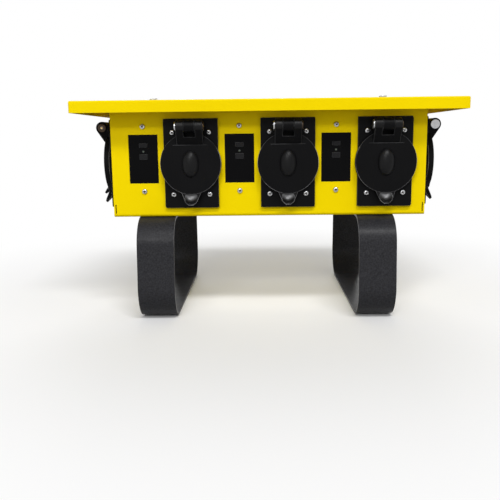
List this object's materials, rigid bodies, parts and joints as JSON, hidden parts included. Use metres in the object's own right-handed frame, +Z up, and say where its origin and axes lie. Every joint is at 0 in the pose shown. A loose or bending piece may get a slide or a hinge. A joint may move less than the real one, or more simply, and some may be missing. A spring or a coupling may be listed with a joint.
{
  "type": "portable power distribution box",
  "caption": "Yellow sheet-steel power distribution box on black strap feet, with an overhanging roof, flip-lid outlets, ground-fault modules, an inlet and a breaker door.",
  "frame": {"origin": "on the ground, under the middle of the box", "axes": "+Z up, +X to the right as seen from the front, the front faces -Y"},
  "size_m": [0.5056, 0.319, 0.2862],
  "materials": {
    "yellow_paint": "safety-yellow powder coat, light orange peel",
    "black_paint": "satin black powder coat, fine grain",
    "black_plastic": "moulded black thermoplastic",
    "device_plastic": "moulded black device face",
    "button_plastic": "moulded black button",
    "core_plastic": "moulded nylon",
    "lamp": "clear lens, unlit",
    "zinc": "zinc plated",
    "steel": "plain steel",
    "brass": "bright brass",
    "rubber": "closed-cell seal",
    "breaker_plastic": "moulded black breaker case",
    "toggle_plastic": "moulded toggle"
  },
  "bodies": {
    "box": {"enclosure_tub": "yellow_paint", "left_side_panel": "yellow_paint", "right_side_panel": "yellow_paint", "roof": "yellow_paint", "roof_screws": "zinc", "door_hinge_leaf": "yellow_paint", "door_hinge_pin": "steel", "left_foot": "black_paint", "right_foot": "black_paint", "foot_bolts": "zinc", "foot_nuts": "zinc", "front_outlet_plates": "black_plastic", "back_outlet_plates": "black_plastic", "left_outlet_plate": "black_plastic", "right_outlet_plates": "black_plastic", "plate_gaskets": "rubber", "receptacles": "core_plastic", "lid_hinge_pins": "zinc", "inlet_housing": "black_plastic", "inlet_insert": "core_plastic", "inlet_blades": "brass", "inlet_hinge_pin": "zinc", "gfci_bodies": "device_plastic", "gfci_lamps": "lamp", "dead_front": "yellow_paint", "din_rail": "zinc", "breaker_bodies": "breaker_plastic", "breaker_bracket": "zinc", "neutral_posts": "core_plastic", "neutral_bar": "brass", "ground_lug": "brass"},
    "lid_front_left": {"lid_front_left": "black_plastic"},
    "lid_front_middle": {"lid_front_middle": "black_plastic"},
    "lid_front_right": {"lid_front_right": "black_plastic"},
    "lid_back_left": {"lid_back_left": "black_plastic"},
    "lid_back_right": {"lid_back_right": "black_plastic"},
    "lid_left_front": {"lid_left_front": "black_plastic"},
    "lid_right_front": {"lid_right_front": "black_plastic"},
    "lid_right_back": {"lid_right_back": "black_plastic"},
    "inlet_lid": {"inlet_lid": "black_plastic"},
    "test_button_1": {"test_button_1": "button_plastic"},
    "reset_button_1": {"reset_button_1": "button_plastic"},
    "test_button_2": {"test_button_2": "button_plastic"},
    "reset_button_2": {"reset_button_2": "button_plastic"},
    "test_button_3": {"test_button_3": "button_plastic"},
    "reset_button_3": {"reset_button_3": "button_plastic"},
    "test_button_4": {"test_button_4": "button_plastic"},
    "reset_button_4": {"reset_button_4": "button_plastic"},
    "access_door": {"access_door": "yellow_paint"},
    "breaker_toggle_1": {"breaker_toggle_1": "toggle_plastic"},
    "breaker_toggle_2": {"breaker_toggle_2": "toggle_plastic"},
    "breaker_toggle_3": {"breaker_toggle_3": "toggle_plastic"},
    "breaker_toggle_4": {"breaker_toggle_4": "toggle_plastic"},
    "breaker_toggle_5": {"breaker_toggle_5": "toggle_plastic"},
    "breaker_toggle_6": {"breaker_toggle_6": "toggle_plastic"},
    "breaker_toggle_7": {"breaker_toggle_7": "toggle_plastic"}
  },
  "joints": [
    {"name": "lid_front_left_hinge", "type": "hinge", "parent": "box", "child": "lid_front_left", "pos_m": [-0.0993, -0.1423, 0.25], "axis": [-1, 0, 0], "range_deg": [0, 110], "stiffness_Nm_per_rad": 0.02, "springref_deg": -57.3},
    {"name": "lid_front_middle_hinge", "type": "hinge", "parent": "box", "child": "lid_front_middle", "pos_m": [0.0251, -0.1423, 0.25], "axis": [-1, 0, 0], "range_deg": [0, 110], "stiffness_Nm_per_rad": 0.02, "springref_deg": -57.3},
    {"name": "lid_front_right_hinge", "type": "hinge", "parent": "box", "child": "lid_front_right", "pos_m": [0.1495, -0.1423, 0.25], "axis": [-1, 0, 0], "range_deg": [0, 110], "stiffness_Nm_per_rad": 0.02, "springref_deg": -57.3},
    {"name": "lid_back_left_hinge", "type": "hinge", "parent": "box", "child": "lid_back_left", "pos_m": [0.1612, 0.1423, 0.25], "axis": [1, 0, 0], "range_deg": [0, 110], "stiffness_Nm_per_rad": 0.02, "springref_deg": -57.3},
    {"name": "lid_back_right_hinge", "type": "hinge", "parent": "box", "child": "lid_back_right", "pos_m": [-0.1544, 0.1423, 0.25], "axis": [1, 0, 0], "range_deg": [0, 110], "stiffness_Nm_per_rad": 0.02, "springref_deg": -57.3},
    {"name": "lid_left_front_hinge", "type": "hinge", "parent": "box", "child": "lid_left_front", "pos_m": [-0.2213, -0.075, 0.25], "axis": [0, 1, 0], "range_deg": [0, 110], "stiffness_Nm_per_rad": 0.02, "springref_deg": -57.3},
    {"name": "lid_right_front_hinge", "type": "hinge", "parent": "box", "child": "lid_right_front", "pos_m": [0.2213, -0.075, 0.25], "axis": [0, -1, 0], "range_deg": [0, 110], "stiffness_Nm_per_rad": 0.02, "springref_deg": -57.3},
    {"name": "lid_right_back_hinge", "type": "hinge", "parent": "box", "child": "lid_right_back", "pos_m": [0.2213, 0.064, 0.25], "axis": [0, -1, 0], "range_deg": [0, 110], "stiffness_Nm_per_rad": 0.02, "springref_deg": -57.3},
    {"name": "inlet_lid_hinge", "type": "hinge", "parent": "box", "child": "inlet_lid", "pos_m": [-0.2518, 0.064, 0.25], "axis": [0, 1, 0], "range_deg": [0, 110], "stiffness_Nm_per_rad": 0.02, "springref_deg": -57.3},
    {"name": "test_button_1_press", "type": "slide", "parent": "box", "child": "test_button_1", "axis": [0, 1, 0], "range_m": [0, 0.001], "stiffness_N_per_m": 300, "springref_m": -0.001},
    {"name": "reset_button_1_press", "type": "slide", "parent": "box", "child": "reset_button_1", "axis": [0, 1, 0], "range_m": [0, 0.001], "stiffness_N_per_m": 300, "springref_m": -0.001},
    {"name": "test_button_2_press", "type": "slide", "parent": "box", "child": "test_button_2", "axis": [0, 1, 0], "range_m": [0, 0.001], "stiffness_N_per_m": 300, "springref_m": -0.001},
    {"name": "reset_button_2_press", "type": "slide", "parent": "box", "child": "reset_button_2", "axis": [0, 1, 0], "range_m": [0, 0.001], "stiffness_N_per_m": 300, "springref_m": -0.001},
    {"name": "test_button_3_press", "type": "slide", "parent": "box", "child": "test_button_3", "axis": [0, 1, 0], "range_m": [0, 0.001], "stiffness_N_per_m": 300, "springref_m": -0.001},
    {"name": "reset_button_3_press", "type": "slide", "parent": "box", "child": "reset_button_3", "axis": [0, 1, 0], "range_m": [0, 0.001], "stiffness_N_per_m": 300, "springref_m": -0.001},
    {"name": "test_button_4_press", "type": "slide", "parent": "box", "child": "test_button_4", "axis": [0, -1, 0], "range_m": [0, 0.001], "stiffness_N_per_m": 300, "springref_m": -0.001},
    {"name": "reset_button_4_press", "type": "slide", "parent": "box", "child": "reset_button_4", "axis": [0, -1, 0], "range_m": [0, 0.001], "stiffness_N_per_m": 300, "springref_m": -0.001},
    {"name": "access_door_hinge", "type": "hinge", "parent": "box", "child": "access_door", "pos_m": [0.0339, 0.128, 0.2545], "axis": [1, 0, 0], "range_deg": [0, 95]},
    {"name": "breaker_toggle_1_throw", "type": "hinge", "parent": "box", "child": "breaker_toggle_1", "pos_m": [0.0962, 0.115, 0.1974], "axis": [1, 0, 0], "range_deg": [-50, 0]},
    {"name": "breaker_toggle_2_throw", "type": "hinge", "parent": "box", "child": "breaker_toggle_2", "pos_m": [0.0784, 0.115, 0.1974], "axis": [1, 0, 0], "range_deg": [-50, 0]},
    {"name": "breaker_toggle_3_throw", "type": "hinge", "parent": "box", "child": "breaker_toggle_3", "pos_m": [0.0606, 0.115, 0.1974], "axis": [1, 0, 0], "range_deg": [-50, 0]},
    {"name": "breaker_toggle_4_throw", "type": "hinge", "parent": "box", "child": "breaker_toggle_4", "pos_m": [0.0428, 0.115, 0.1974], "axis": [1, 0, 0], "range_deg": [-50, 0]},
    {"name": "breaker_toggle_5_throw", "type": "hinge", "parent": "box", "child": "breaker_toggle_5", "pos_m": [0.025, 0.115, 0.1974], "axis": [1, 0, 0], "range_deg": [-50, 0]},
    {"name": "breaker_toggle_6_throw", "type": "hinge", "parent": "box", "child": "breaker_toggle_6", "pos_m": [0.0072, 0.115, 0.1974], "axis": [1, 0, 0], "range_deg": [-50, 0]},
    {"name": "breaker_toggle_7_throw", "type": "hinge", "parent": "box", "child": "breaker_toggle_7", "pos_m": [-0.0195, 0.115, 0.1974], "axis": [1, 0, 0], "range_deg": [-50, 0]}
  ]
}
